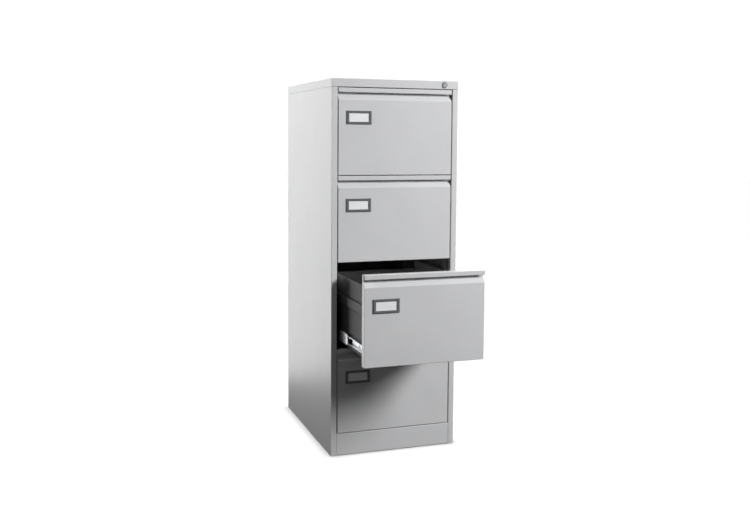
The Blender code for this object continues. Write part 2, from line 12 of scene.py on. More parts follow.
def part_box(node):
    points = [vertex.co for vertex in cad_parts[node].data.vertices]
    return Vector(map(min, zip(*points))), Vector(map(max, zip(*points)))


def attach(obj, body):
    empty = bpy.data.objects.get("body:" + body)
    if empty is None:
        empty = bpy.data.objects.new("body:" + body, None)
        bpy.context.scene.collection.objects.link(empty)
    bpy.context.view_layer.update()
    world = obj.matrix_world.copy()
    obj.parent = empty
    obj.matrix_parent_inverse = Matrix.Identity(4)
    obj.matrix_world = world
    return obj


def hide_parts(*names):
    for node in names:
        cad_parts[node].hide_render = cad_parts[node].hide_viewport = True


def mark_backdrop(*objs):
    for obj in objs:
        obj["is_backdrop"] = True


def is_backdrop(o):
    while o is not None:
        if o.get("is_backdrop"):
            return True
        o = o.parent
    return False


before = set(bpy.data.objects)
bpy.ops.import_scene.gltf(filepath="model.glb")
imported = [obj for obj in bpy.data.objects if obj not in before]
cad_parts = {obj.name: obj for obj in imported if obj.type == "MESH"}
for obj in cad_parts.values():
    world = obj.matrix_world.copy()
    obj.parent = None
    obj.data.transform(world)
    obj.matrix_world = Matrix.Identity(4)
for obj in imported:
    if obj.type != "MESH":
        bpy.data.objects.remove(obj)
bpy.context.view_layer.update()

# ---------------------------------------------------------------- sizes read from the frame
side_low, side_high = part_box("right_side_panel")
cover_low, cover_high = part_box("top_cover")
back_low, back_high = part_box("back_panel")
plinth_low, plinth_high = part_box("plinth")
HALF_WIDTH = side_high.x
FACE = side_low.y                     # plane of the closed drawer faces
REAR = side_high.y
SIDE_TOP = side_high.z
DRAWERS = (1, 2, 3, 4)
SIDES = (("left", -1), ("right", 1))

# ---------------------------------------------------------------- sheet profiles (metres)
SHEET = 0.0010
FIT = 0.0003
FOLD = 0.0020                         # outside radius of a folded corner
CUT_EDGE = 0.00018                    # rounding along a sheared edge
STILE = 0.0210
STILE_RETURN = 0.0180
REAR_FLANGE = 0.0200
COVER_LIP = 0.0120
PLINTH_RETURN = 0.0160
BACK_FLANGE = 0.0120
POST_HOLE_PITCH = 0.0505              # oblong holes that the slides hook into
POST_HOLE_HEIGHT = 0.0180
POST_HOLE_HALF_WIDTH = 0.0035
POST_PLAIN_END = 0.0600               # length left without holes at each end

FRONT_DEPTH = 0.0250
BAR_HEIGHT = 0.0160
BAR_HEM = 0.0030
RECESS_GAP = 0.0065
RECESS_DEPTH = 0.0135
SLOPE = 0.0185
FLANGE_ROUND = 0.0010                 # rounding where a front's face turns into its side

TRAY_RISE = 0.0200
TRAY_TOP_DROP = 0.0440
TRAY_BACK_DROP = 0.0300
HEM_WIDTH = 0.0012
HEM_DROP = 0.0090
RIB_DROP = 0.0635
RIB_HEIGHT = 0.0310
RIB_PROUD = 0.0040
GROOVE_HEIGHT = 0.0060
GROOVE_DEPTH = 0.0025
BEAD_NEAR = 0.0850
BEAD_FAR = 0.1150
BEAD_RISE = 0.0030

SLIDE_SHEET = 0.0012
SLIDE_BEND = 0.0018
SLIDE_LIP = 0.0026
BALL_RADIUS = 0.00145
BALL_PITCH = 0.0115
BALL_SPACE = 0.0032                   # between the flanges of two members
SLIDE_BEND_STEPS = 5

LABEL_WINDOW = (0.0710, 0.0290)       # width and height of the frame's opening
CATCH_SETBACK = 0.0060                # lock catch behind the drawer front
CATCH_LEVEL = 0.1120                  # its lower edge above the front's lower edge
CATCH_HEIGHT = 0.0160
CATCH_THICKNESS = 0.0020

LOCK_HOLE_RADIUS = 0.0093             # hole in the fascia
LOCK_BODY_RADIUS = 0.0090
PLUG_CLEARANCE = 0.0001
KEYWAY_HALF_WIDTH = 0.0011
KEYWAY_HALF_HEIGHT = 0.0034
KEYWAY_DEPTH = 0.0120
CUTTER_CLEAR = 0.0040                 # how far a cutter stands out of what it cuts


# ---------------------------------------------------------------- materials
class Nodes:
    """Small helper round one material's node tree."""

    def __init__(self, name):
        self.material = bpy.data.materials.new(name)
        self.material.use_nodes = True
        self.tree = self.material.node_tree
        self.shader = self.tree.nodes["Principled BSDF"]
        self.coords = self.tree.nodes.new("ShaderNodeTexCoord").outputs["Object"]

    def add(self, kind, **values):
        node = self.tree.nodes.new(kind)
        for key, value in values.items():
            setattr(node, key, value)
        return node

    def link(self, output, target):
        self.tree.links.new(output, target)

    def stretched(self, scale):
        mapping = self.add("ShaderNodeMapping")
        mapping.inputs["Scale"].default_value = scale
        self.link(self.coords, mapping.inputs["Vector"])
        return mapping.outputs["Vector"]

    def noise(self, scale, detail=2.0, vector=None):
        node = self.add("ShaderNodeTexNoise")
        node.inputs["Scale"].default_value = scale
        node.inputs["Detail"].default_value = detail
        self.link(vector or self.coords, node.inputs["Vector"])
        return node.outputs["Fac"]

    def spread(self, source, low, high, source_low=0.3, source_high=0.7):
        node = self.add("ShaderNodeMapRange")
        node.inputs["From Min"].default_value = source_low
        node.inputs["From Max"].default_value = source_high
        node.inputs["To Min"].default_value = low
        node.inputs["To Max"].default_value = high
        self.link(source, node.inputs["Value"])
        return node.outputs["Result"]

    def maths(self, operation, first, second):
        node = self.add("ShaderNodeMath", operation=operation)
        for slot, value in zip(node.inputs, (first, second)):
            if isinstance(value, (int, float)):
                slot.default_value = value
            else:
                self.link(value, slot)
        return node.outputs["Value"]

    def blend(self, factor, first, second):
        node = self.add("ShaderNodeMix", data_type="RGBA")
        slots = (node.inputs["Factor"], node.inputs[6], node.inputs[7])
        for slot, value in zip(slots, (factor, first, second)):
            if isinstance(value, tuple):
                slot.default_value = (*value, 1.0)
            else:
                self.link(value, slot)
        return node.outputs[2]

    def edges(self, radius):
        """Near 1 along sharp edges and folds, 0 on flat sheet."""
        rounded = self.add("ShaderNodeBevel", samples=4)
        rounded.inputs["Radius"].default_value = radius
        flat = self.add("ShaderNodeNewGeometry")
        dot = self.add("ShaderNodeVectorMath", operation="DOT_PRODUCT")
        self.link(rounded.outputs["Normal"], dot.inputs[0])
        self.link(flat.outputs["Normal"], dot.inputs[1])
        return self.spread(dot.outputs["Value"], 1.0, 0.0, 0.86, 0.995)

    def bump(self, height, depth, strength=1.0):
        node = self.add("ShaderNodeBump")
        node.inputs["Distance"].default_value = depth
        node.inputs["Strength"].default_value = strength
        self.link(height, node.inputs["Height"])
        self.link(node.outputs["Normal"], self.shader.inputs["Normal"])

    def finish(self, colour, roughness, **fixed):
        self.link(colour, self.shader.inputs["Base Color"])
        self.link(roughness, self.shader.inputs["Roughness"])
        for key, value in fixed.items():
            self.shader.inputs[key.replace("_", " ")].default_value = value
        return self.material


def shade(colour, share):
    return tuple(channel * share for channel in colour)


def powder_coat(name, colour, grain, edge_wear_and_highlight, gloss):
    """Satin powder coat: fine orange-peel skin, faint mottle, thinner and smoother on its edges, which are
    also painted lighter as a highlight.
    """
    n = Nodes(name)
    mottle = n.spread(n.noise(7.0, 3.0), 0.0, 1.0)
    body = n.blend(mottle, shade(colour, 0.975), shade(colour, 1.02))
    speck = n.spread(n.noise(2600.0, 1.0), 0.0, 0.03, 0.45, 0.8)
    body = n.blend(speck, body, shade(colour, 0.80))
    edge = n.edges(0.0011)
    # Lighter edges: partly edge wear, partly a painted highlight where the folds would catch the light.
    body = n.blend(n.maths("MULTIPLY", edge, edge_wear_and_highlight), body, shade(colour, 1.22))
    skin = n.maths("ADD", n.noise(520.0, 2.0), n.maths("MULTIPLY", n.noise(1500.0, 1.0), 0.5))
    n.bump(skin, grain, 0.35)
    patchy = n.spread(n.noise(38.0, 2.0), gloss - 0.02, gloss + 0.02, 0.15, 0.85)
    rough = n.maths("SUBTRACT", patchy, n.maths("MULTIPLY", edge, 0.08))
    return n.finish(body, rough, Specular_IOR_Level=0.5)


def zinc_plate(name, colour, along):
    """Bright zinc on rolled strip: drawn streaks along the strip, cloudy passivation."""
    n = Nodes(name)
    streaks = n.noise(1.0, 3.0, n.stretched(along))
    cloud = n.noise(30.0, 4.0)
    body = n.blend(n.spread(streaks, 0.0, 1.0), shade(colour, 0.86), shade(colour, 1.12))
    body = n.blend(n.spread(cloud, 0.0, 0.35), body, (colour[0] * 0.92, colour[1] * 0.97, colour[2] * 1.06))
    # Edges painted brighter: a painted glint along the strip's edges.
    body = n.blend(n.maths("MULTIPLY", n.edges(0.0005), 0.6), body, shade(colour, 1.3))
    rough = n.maths("ADD", n.spread(cloud, 0.22, 0.34), n.spread(streaks, -0.04, 0.05))
    n.bump(streaks, 0.00003, 0.5)
    return n.finish(body, rough, Metallic=1.0)


def moulded(name, colour, roughness, grain_scale):
    """Moulded plastic or fine-textured enamel: even grain, slightly polished edges, which are also painted
    lighter as a highlight.
    """
    n = Nodes(name)
    grain = n.noise(grain_scale, 2.0)
    body = n.blend(n.spread(n.noise(60.0, 3.0), 0.0, 1.0), shade(colour, 0.92), shade(colour, 1.08))
    edge = n.edges(0.0006)
    # Edges painted much lighter: a painted highlight, with the roughness lowered below for the polish.
    body = n.blend(n.maths("MULTIPLY", edge, 0.5), body, shade(colour, 1.55))
    n.bump(grain, 0.00004, 0.4)
    uneven = n.spread(grain, roughness - 0.04, roughness + 0.05)
    rough = n.maths("SUBTRACT", uneven, n.maths("MULTIPLY", edge, 0.1))
    return n.finish(body, rough, Specular_IOR_Level=0.5)


def paper_card(name, colour):
    """Uncoated card: short fibres, faint cloudiness, matt."""
    n = Nodes(name)
    fibres = n.noise(1.0, 4.0, n.stretched((700.0, 700.0, 2400.0)))
    cloud = n.noise(55.0, 3.0)
    body = n.blend(n.spread(cloud, 0.0, 1.0), shade(colour, 0.965), shade(colour, 1.02))
    body = n.blend(n.spread(fibres, 0.0, 0.25), body, shade(colour, 0.90))
    n.bump(fibres, 0.00003, 0.5)
    return n.finish(body, n.spread(fibres, 0.62, 0.78), Specular_IOR_Level=0.35)


def nickel_chrome(name, colour):
    """Plated lock face: bright, with hairline turning marks and handling scratches."""
    n = Nodes(name)
    hairlines = n.noise(1.0, 2.0, n.stretched((5200.0, 90.0, 900.0)))
    body = n.blend(n.spread(hairlines, 0.0, 1.0), shade(colour, 0.90), shade(colour, 1.08))
    # Edges painted brighter: a painted glint on the plated rims.
    body = n.blend(n.maths("MULTIPLY", n.edges(0.0004), 0.7), body, shade(colour, 1.25))
    n.bump(hairlines, 0.00002, 0.4)
    return n.finish(body, n.spread(n.noise(300.0, 3.0), 0.14, 0.24), Metallic=1.0)


LIGHT_GREY = (0.600, 0.603, 0.612)
PAINT = powder_coat("powder_coat_grey", LIGHT_GREY, 0.00005, 0.35, 0.30)
# The inside pieces use the grey paint darkened to 70 percent as painted shade for the dim interior, with a
# coarser and less glossy skin.
PAINT_SHADED_INSIDE = powder_coat("powder_coat_inside", shade(LIGHT_GREY, 0.70), 0.00014, 0.25, 0.50)
ZINC = zinc_plate("zinc_rolled", (0.640, 0.648, 0.660), (900.0, 9.0, 900.0))
ZINC_PLATE = zinc_plate("zinc_stamped", (0.600, 0.606, 0.612), (500.0, 500.0, 12.0))
LABEL_GREY = moulded("label_frame_enamel", (0.135, 0.141, 0.150), 0.40, 1400.0)
CARD = paper_card("label_card_paper", (0.820, 0.826, 0.838))
CHROME = nickel_chrome("lock_nickel", (0.660, 0.662, 0.672))
BLACK = moulded("black_acetal", (0.030, 0.030, 0.032), 0.42, 1100.0)


# ---------------------------------------------------------------- mesh helpers
def rounded_path(points, radius=FOLD, steps=6):
    """An open 2D path whose inner corners are arcs. The radius is one number, or one for each corner."""
    radii = [radius] * (len(points) - 2) if isinstance(radius, float) else radius
    path = [Vector(points[0])]
    for before, corner, after, bend in zip(points, points[1:], points[2:], radii):
        corner = Vector(corner)
        back = (Vector(before) - corner).normalized()
        ahead = (Vector(after) - corner).normalized()
        half = back.angle(ahead) / 2
        centre = corner + (back + ahead).normalized() * (bend / math.sin(half))
        first = corner + back * (bend / math.tan(half)) - centre
        last = corner + ahead * (bend / math.tan(half)) - centre
        start = math.atan2(first.y, first.x)
        turn = math.remainder(math.atan2(last.y, last.x) - start, 2 * math.pi)
        for step in range(steps + 1):
            angle = start + turn * step / steps
            path.append(centre + Vector((math.cos(angle), math.sin(angle))) * bend)
    path.append(Vector(points[-1]))
    return path


def place(axis, first, second, along):
    return {"X": (along, first, second), "Y": (first, along, second), "Z": (first, second, along)}[axis]


def face_towards(bm, face, direction):
    bmesh.ops.recalc_face_normals(bm, faces=bm.faces[:])
    if face.normal.dot(direction) < 0:
        bmesh.ops.reverse_faces(bm, faces=bm.faces[:])


def swept(path, axis, stations, thick_side):
    """The path drawn through the stations along an axis, facing away from its thick side; and its rows."""
    bm = bmesh.new()
    rows = [[bm.verts.new(place(axis, first, second, along)) for first, second in path] for along in stations]
    for near, far in zip(rows, rows[1:]):
        for index in range(len(path) - 1):
            bm.faces.new((near[index], near[index + 1], far[index + 1], far[index]))
    direction = Vector(place(axis, 0, 0, 1))
    right_side = (rows[0][1].co - rows[0][0].co).cross(direction) * (-1 if axis == "Y" else 1)
    face_towards(bm, rows[0][0].link_faces[0], right_side if thick_side == "left" else -right_side)
    return bm, rows


def new_object(name, bm, material):
    mesh = bpy.data.meshes.new(name)
    bm.to_mesh(mesh)
    bm.free()
    mesh.materials.append(material)
    piece = bpy.data.objects.new(name, mesh)
    bpy.context.scene.collection.objects.link(piece)
    return piece


def solidify(piece, thickness):
    modifier = piece.modifiers.new("Sheet", "SOLIDIFY")
    modifier.thickness = thickness
    modifier.offset = -1
    modifier.use_even_offset = True


def round_edges(piece, width, segments=2, degrees=50):
    modifier = piece.modifiers.new("Edges", "BEVEL")
    modifier.width = width
    modifier.segments = segments
    modifier.limit_method = "ANGLE"
    modifier.angle_limit = math.radians(degrees)
    modifier.miter_outer = "MITER_ARC"


def cut(piece, *cutters):
    for cutter in cutters:
        modifier = piece.modifiers.new("Cut", "BOOLEAN")
        modifier.operation = "DIFFERENCE"
        modifier.solver = "EXACT"
        modifier.object = cutter
        cutter.hide_render = True


def baked(piece):
    """The piece's mesh with its modifiers applied."""
    depsgraph = bpy.context.evaluated_depsgraph_get()
    depsgraph.update()
    mesh = bpy.data.meshes.new_from_object(piece.evaluated_get(depsgraph))
    piece.modifiers.clear()
    old = piece.data
    piece.data = mesh
    if old.users == 0:
        bpy.data.meshes.remove(old)
    mesh.name = piece.name
    return mesh


def settle(piece, smooth_below=33):
    """Apply the modifiers, then shade smooth except across sharp edges, with flat sheet kept flat."""
    used = [modifier.object for modifier in piece.modifiers if modifier.type == "BOOLEAN"]
    mesh = baked(piece)
    for cutter in used:
        bpy.data.objects.remove(cutter, do_unlink=True)
    mesh.shade_smooth()
    mesh.set_sharp_from_angle(angle=math.radians(smooth_below))
    weighted = piece.modifiers.new("Flats", "WEIGHTED_NORMAL")
    weighted.keep_sharp = True
    weighted.weight = 80
    baked(piece)
    return piece


def belongs(piece, body, slot, *nodes):
    """The piece rides on a body and stands for CAD nodes, which are hidden; the slot argument is not used."""
    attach(piece, body)
    if nodes:
        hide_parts(*nodes)
    return piece


def folded(name, path, axis, span, thick_side, material, thickness=SHEET, edge=CUT_EDGE):
    bm, _ = swept(path, axis, span, thick_side)
    piece = new_object(name, bm, material)
    solidify(piece, thickness)
    round_edges(piece, edge)
    return piece


def box_mesh(low, high):
    bm = bmesh.new()
    bmesh.ops.create_cube(bm, size=1)
    bmesh.ops.scale(bm, vec=Vector(high) - Vector(low), verts=bm.verts)
    bmesh.ops.translate(bm, vec=(Vector(low) + Vector(high)) / 2, verts=bm.verts)
    return bm


def cutter_box(low, high):
    return new_object("cutter", box_mesh(low, high), PAINT)


def turned(profile, centre, steps=48, axis="Y"):
    """A lathe shape: (distance along the axis, radius) pairs turned round the axis through the centre."""
    bm = bmesh.new()
    rings = []
    for along, radius in profile:
        ring = []
        if radius == 0:
            point = Vector((0, along, 0)) if axis == "Y" else Vector((along, 0, 0))
            ring = [bm.verts.new(point + Vector(centre))]
        else:
            for step in range(steps):
                angle = 2 * math.pi * step / steps
                u, v = radius * math.cos(angle), radius * math.sin(angle)
                point = Vector((u, along, v)) if axis == "Y" else Vector((along, u, v))
                ring.append(bm.verts.new(point + Vector(centre)))
        rings.append(ring)
    for near, far in zip(rings, rings[1:]):
        for step in range(steps):
            after = (step + 1) % steps
            if len(near) == 1:
                bm.faces.new((near[0], far[after], far[step]))
            elif len(far) == 1:
                bm.faces.new((near[step], near[after], far[0]))
            else:
                bm.faces.new((near[step], near[after], far[after], far[step]))
    if len(rings[0]) > 1 and (Vector(profile[0]) - Vector(profile[-1])).length < 1e-9:
        bmesh.ops.remove_doubles(bm, verts=bm.verts, dist=1e-7)
    bmesh.ops.recalc_face_normals(bm, faces=bm.faces[:])
    return bm


def absorb(bm, other):
    """Add another bmesh's faces to this one, and free it."""
    spare = bpy.data.meshes.new("spare")
    other.to_mesh(spare)
    other.free()
    bm.from_mesh(spare)
    bpy.data.meshes.remove(spare)


def mirrored(path, side):
    return [(first * side, second) for first, second in path]


def shifted(path, first=0.0, second=0.0):
    return [(a + first, b + second) for a, b in path]


# ---------------------------------------------------------------- carcase
def side_panel(side_name, side):
    inner = HALF_WIDTH - STILE
    path = [(inner, FACE + STILE_RETURN), (inner, FACE), (HALF_WIDTH, FACE),
            (HALF_WIDTH, REAR), (HALF_WIDTH - REAR_FLANGE, REAR)]
    piece = folded(f"{side_name}_side_sheet", mirrored(rounded_path(path), side), "Z",
                   (side_low.z, SIDE_TOP), "left" if side > 0 else "right", PAINT)
    return belongs(settle(piece), "cabinet", "paint", f"{side_name}_side_panel")


def back_sheet():
    half = back_high.x
    front, rear = back_high.y - BACK_FLANGE, back_high.y
    path = [(-half, front), (-half, rear), (half, rear), (half, front)]
    piece = folded("back_sheet", rounded_path(path), "Z", (back_low.z, back_high.z), "right", PAINT)
    return belongs(settle(piece), "cabinet", "paint", "back_panel")


def cover_sheet():
    """Top cover with turned-down edges, folded corners and a lip under the fascia."""
    low, high = cover_low, cover_high
    bm = box_mesh(low, high)
    bottom = [face for face in bm.faces if face.normal.z < -0.5]
    bmesh.ops.delete(bm, geom=bottom, context="FACES_ONLY")
    rim = [edge for edge in bm.edges
           if all(v.co.y < low.y + FIT and v.co.z < low.z + FIT for v in edge.verts)]
    lip = bmesh.ops.extrude_edge_only(bm, edges=rim)
    lip_verts = [item for item in lip["geom"] if isinstance(item, bmesh.types.BMVert)]
    bmesh.ops.translate(bm, verts=lip_verts, vec=(0, COVER_LIP, 0))
    bmesh.ops.scale(bm, verts=lip_verts, vec=(1 - COVER_LIP / HALF_WIDTH, 1, 1))
    bmesh.ops.recalc_face_normals(bm, faces=bm.faces[:])
    piece = new_object("cover_sheet", bm, PAINT)
    round_edges(piece, FOLD, 6, 40)
    solidify(piece, SHEET)
    housing_low, housing_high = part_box("lock_housing")
    centre = ((housing_low.x + housing_high.x) / 2, low.y, (housing_low.z + housing_high.z) / 2)
    hole = turned(((-CUTTER_CLEAR, 0), (-CUTTER_CLEAR, LOCK_HOLE_RADIUS),
                   (CUTTER_CLEAR, LOCK_HOLE_RADIUS), (CUTTER_CLEAR, 0)), centre)
    cut(piece, new_object("cutter", hole, PAINT))
    round_edges(piece, CUT_EDGE, 1)
    return belongs(settle(piece), "cabinet", "paint", "top_cover")


def plinth_sheet():
    low, high = plinth_low, plinth_high
    path = [(low.y + PLINTH_RETURN, low.z), (low.y, low.z), (low.y, high.z), (low.y + PLINTH_RETURN, high.z)]
    piece = folded("plinth_sheet", rounded_path(path), "X", (low.x, high.x), "right", PAINT)
    return belongs(settle(piece), "cabinet", "paint", "plinth")


def post(side_name, side, place_name):
    """Channel upright with a row of oblong holes that the slides hook into."""
    low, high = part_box(f"{side_name}_{place_name}_upright")
    outer, face = (high.x, low.x) if side > 0 else (-low.x, -high.x)
    path = [(outer, low.y), (face, low.y), (face, high.y), (outer, high.y)]
    piece = folded(f"{side_name}_{place_name}_post", mirrored(rounded_path(path), side), "Z",
                   (low.z, high.z), "right" if side > 0 else "left", PAINT_SHADED_INSIDE)
    middle = (low.y + high.y) / 2
    holes = bmesh.new()
    level = low.z + POST_PLAIN_END
    while level < high.z - POST_PLAIN_END:
        x0, x1 = sorted((side * (face - 0.002), side * (face + 0.002)))
        absorb(holes, box_mesh((x0, middle - POST_HOLE_HALF_WIDTH, level),
                               (x1, middle + POST_HOLE_HALF_WIDTH, level + POST_HOLE_HEIGHT)))
        level += POST_HOLE_PITCH
    cut(piece, new_object("cutter", holes, PAINT))
    return belongs(settle(piece), "cabinet", "paint", f"{side_name}_{place_name}_upright")


# ---------------------------------------------------------------- drawers
def front_sheet(number):
    """Pressed drawer front: panel, slope, recess wall, grip bar and rounded sides."""
    node = f"drawer_{number}_front"
    low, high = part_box(node)
    half, y0, z0 = high.x, low.y, low.z
    height = high.z - low.z
    bar_low = height - BAR_HEIGHT
    slope_high = bar_low - RECESS_GAP
    slope_low = slope_high - SLOPE
    steps = 8
    outer = [(FRONT_DEPTH, 0), (0, 0), (0, slope_low), (RECESS_DEPTH, slope_high),
             (RECESS_DEPTH, height - SHEET), (SHEET, height - SHEET), (SHEET, bar_low + SHEET),
             (SHEET + BAR_HEM, bar_low + SHEET)]
    radii = [0.0020, 0.0024, 0.0020, 0.0012, 0.0012, 0.0012]
    path = shifted(rounded_path(outer, radii, steps), y0, z0)
    bm, rows = swept(path, "X", (-half, half), "right")
    flange_points = 2 + 3 * (steps + 1)
    rims = []
    for row, side in zip(rows, (-1, 1)):
        rim = row[:flange_points]
        rear_top = bm.verts.new((side * half, y0 + FRONT_DEPTH, rim[-1].co.z))
        flange = bm.faces.new(rim + [rear_top])
        face_towards(bm, flange, Vector((side, 0, 0)))
        rims += [bm.edges.get(pair) for pair in zip(rim, rim[1:])]
    bmesh.ops.bevel(bm, geom=rims, offset=FLANGE_ROUND, segments=4, profile=0.5, affect="EDGES",
                    clamp_overlap=False)
    piece = new_object(f"drawer_{number}_face_sheet", bm, PAINT)
    solidify(piece, SHEET)
    return belongs(settle(piece, 40), f"drawer_{number}", "paint", node)


def liner_sheet(number):
    node = f"drawer_{number}_front_liner"
    low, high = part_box(node)
    path = [(low.y, low.z), (high.y, low.z), (high.y, high.z), (low.y, high.z)]
    piece = folded(f"drawer_{number}_liner_sheet", rounded_path(path), "X", (low.x, high.x), "left", PAINT)
    return belongs(settle(piece), f"drawer_{number}", "paint", node)


def tray_shell(number):
    """Drawer body: beaded floor and ribbed side walls from one sheet, with rolled top hems."""
    node = f"drawer_{number}_tray"
    low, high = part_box(node)
    front_low, front_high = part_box(f"drawer_{number}_front")
    base, top = front_low.z, front_high.z
    wall = -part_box(f"drawer_{number}_left_drawer_rail")[1].x - FIT
    floor = base + TRAY_RISE
    rim = top - TRAY_TOP_DROP
    rib_high = rim - RIB_DROP
    rib_low = rib_high - RIB_HEIGHT
    half = [(BEAD_NEAR - BEAD_RISE, floor), (BEAD_NEAR, floor + BEAD_RISE), (BEAD_FAR, floor + BEAD_RISE),
            (BEAD_FAR + BEAD_RISE, floor), (wall, floor), (wall, rib_low - RIB_PROUD),
            (wall + RIB_PROUD, rib_low), (wall + RIB_PROUD, rib_high), (wall - GROOVE_DEPTH, rib_high),
            (wall - GROOVE_DEPTH, rib_high + GROOVE_HEIGHT), (wall, rib_high + GROOVE_HEIGHT),
            (wall, rim), (wall + HEM_WIDTH, rim), (wall + HEM_WIDTH, rim - HEM_DROP)]
    bends = [0.0016, 0.0016, 0.0016, 0.0016, 0.0022, 0.0020, 0.0020, 0.0016, 0.0009, 0.0009, 0.0012, 0.00055,
             0.00055]
    outline = [(-a, b) for a, b in reversed(half)] + half
    path = rounded_path(outline, list(reversed(bends)) + bends, 5)
    rear = high.y
    piece = folded(f"drawer_{number}_body_sheet", path, "Y", (low.y, rear), "left", PAINT_SHADED_INSIDE)
    belongs(settle(piece), f"drawer_{number}", "paint", node)
    rear_wall(number, wall, rear, floor, rim)
    catch(number, wall, base)


def rear_wall(number, wall, rear, floor, rim):
    """Rear wall with a turned-in top edge."""
    inner = wall - SHEET - FIT
    bm, _ = swept(rounded_path([(floor + SHEET + FIT, rear - 0.0005), (rim - TRAY_BACK_DROP, rear - 0.0005),
                                (rim - TRAY_BACK_DROP, rear - 0.0125)], 0.0016, 5), "X",
                  (-inner, inner), "left")
    for vert in bm.verts:
        vert.co.y, vert.co.z = vert.co.z, vert.co.y
    bmesh.ops.recalc_face_normals(bm, faces=bm.faces[:])
    sheet_faces = [face for face in bm.faces if abs(face.normal.y) > 0.9]
    if sheet_faces[0].normal.y < 0:
        bmesh.ops.reverse_faces(bm, faces=bm.faces[:])
    piece = new_object(f"drawer_{number}_rear_wall", bm, PAINT_SHADED_INSIDE)
    solidify(piece, SHEET)
    round_edges(piece, CUT_EDGE)
    belongs(settle(piece), f"drawer_{number}", "paint")


def catch(number, wall, base):
    """Small steel tab on the right wall that the locking bar's tongue moves in front of."""
    tray_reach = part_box(f"drawer_{number}_tray")[1].x
    back_of_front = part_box(f"drawer_{number}_front")[1].y
    y0 = back_of_front + CATCH_SETBACK
    z0 = base + CATCH_LEVEL
    bm = box_mesh((wall + FIT, y0, z0), (tray_reach, y0 + CATCH_THICKNESS, z0 + CATCH_HEIGHT))
    piece = new_object(f"drawer_{number}_lock_catch", bm, ZINC_PLATE)
    round_edges(piece, 0.0005, 3)
    belongs(settle(piece), f"drawer_{number}", "zinc")


def ring_profile(bm, centre, width, height, profile, steps=4):
    """A closed frame: rounded-rectangle loops, one for each (outward offset, y, corner radius), in a ring."""
    loops = []
    for offset, y, radius in profile:
        half_w, half_h = width / 2 + offset - radius, height / 2 + offset - radius
        loop = []
        for quarter, (sx, sz) in enumerate(((1, 1), (-1, 1), (-1, -1), (1, -1))):
            for step in range(steps + 1):
                angle = math.pi / 2 * (quarter + step / steps)
                loop.append(bm.verts.new((centre.x + sx * half_w + radius * math.cos(angle), y,
                                          centre.z + sz * half_h + radius * math.sin(angle))))
        loops.append(loop)
    count = len(loops[0])
    for near, far in zip(loops, loops[1:] + loops[:1]):
        for index in range(count):
            after = (index + 1) % count
            bm.faces.new((near[index], near[after], far[after], far[index]))
    bmesh.ops.recalc_face_normals(bm, faces=bm.faces[:])


def label_frame(number):
    """Pressed label frame: rounded outer rim, flat land, lip sloping into the window."""
    node = f"drawer_{number}_label_holder"
    low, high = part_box(node)
    centre = (low + high) / 2
    card_low, card_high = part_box(f"drawer_{number}_label_card")
    width, height = LABEL_WINDOW
    border = (high.x - low.x - width) / 2
    rise = (high.z - low.z - height) / 2
    proud, back = low.y, high.y
    bm = bmesh.new()
    inner, outer = 0.0006, 0.0011
    profile = [(0.0, proud + 0.0015, inner), (0.0007, proud + 0.0004, inner), (0.0016, proud, inner),
               (rise - 0.0022, proud, outer), (rise - 0.0008, proud + 0.0004, outer),
               (rise - 0.0001, proud + 0.0012, outer), (rise, proud + 0.0020, outer), (rise, back, outer),
               (0.0030, back, inner), (0.0030, back - 0.0010, inner), (0.0, back - 0.0010, inner)]
    ring_profile(bm, centre, width, height, profile)
    # The rim is wider at the sides than above and below, so the outer loops are drawn out sideways.
    extra = border - rise
    for vert in bm.verts:
        reach = (abs(vert.co.x - centre.x) - width / 2) / rise
        if reach > 0:
            vert.co.x += math.copysign(extra * min(reach, 1.0), vert.co.x - centre.x)
    piece = new_object(f"drawer_{number}_label_frame", bm, LABEL_GREY)
    belongs(settle(piece, 40), f"drawer_{number}", "label_frame", node)
    card_bm = box_mesh(card_low, card_high)
    bmesh.ops.subdivide_edges(card_bm, edges=card_bm.edges[:], cuts=6, use_grid_fill=True)
    for vert in card_bm.verts:
        across = (vert.co.x - centre.x) / (card_high.x - card_low.x)
        vert.co.y -= 0.00018 * math.cos(math.pi * across)
    card = new_object(f"drawer_{number}_card", card_bm, CARD)
    belongs(settle(card), f"drawer_{number}", "label_card", f"drawer_{number}_label_card")


# ---------------------------------------------------------------- slides
def rail(name, node, side, toward):
    """One slide member, a channel with rolled lips, shaped from its CAD node; with its web and box."""
    low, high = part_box(node)
    near, far = (low.x, high.x) if side > 0 else (-high.x, -low.x)
    web, tip = (far, near) if toward < 0 else (near, far)
    z0, z1 = low.z, high.z
    path = [(tip, z1 - SLIDE_LIP), (tip, z1), (web, z1), (web, z0), (tip, z0), (tip, z0 + SLIDE_LIP)]
    thick_side = "left" if toward * side > 0 else "right"
    outline = mirrored(rounded_path(path, SLIDE_BEND, SLIDE_BEND_STEPS), side)
    piece = folded(name, outline, "Y", (low.y, high.y), thick_side, ZINC, SLIDE_SHEET, 0.00015)
    return piece, web, low, high


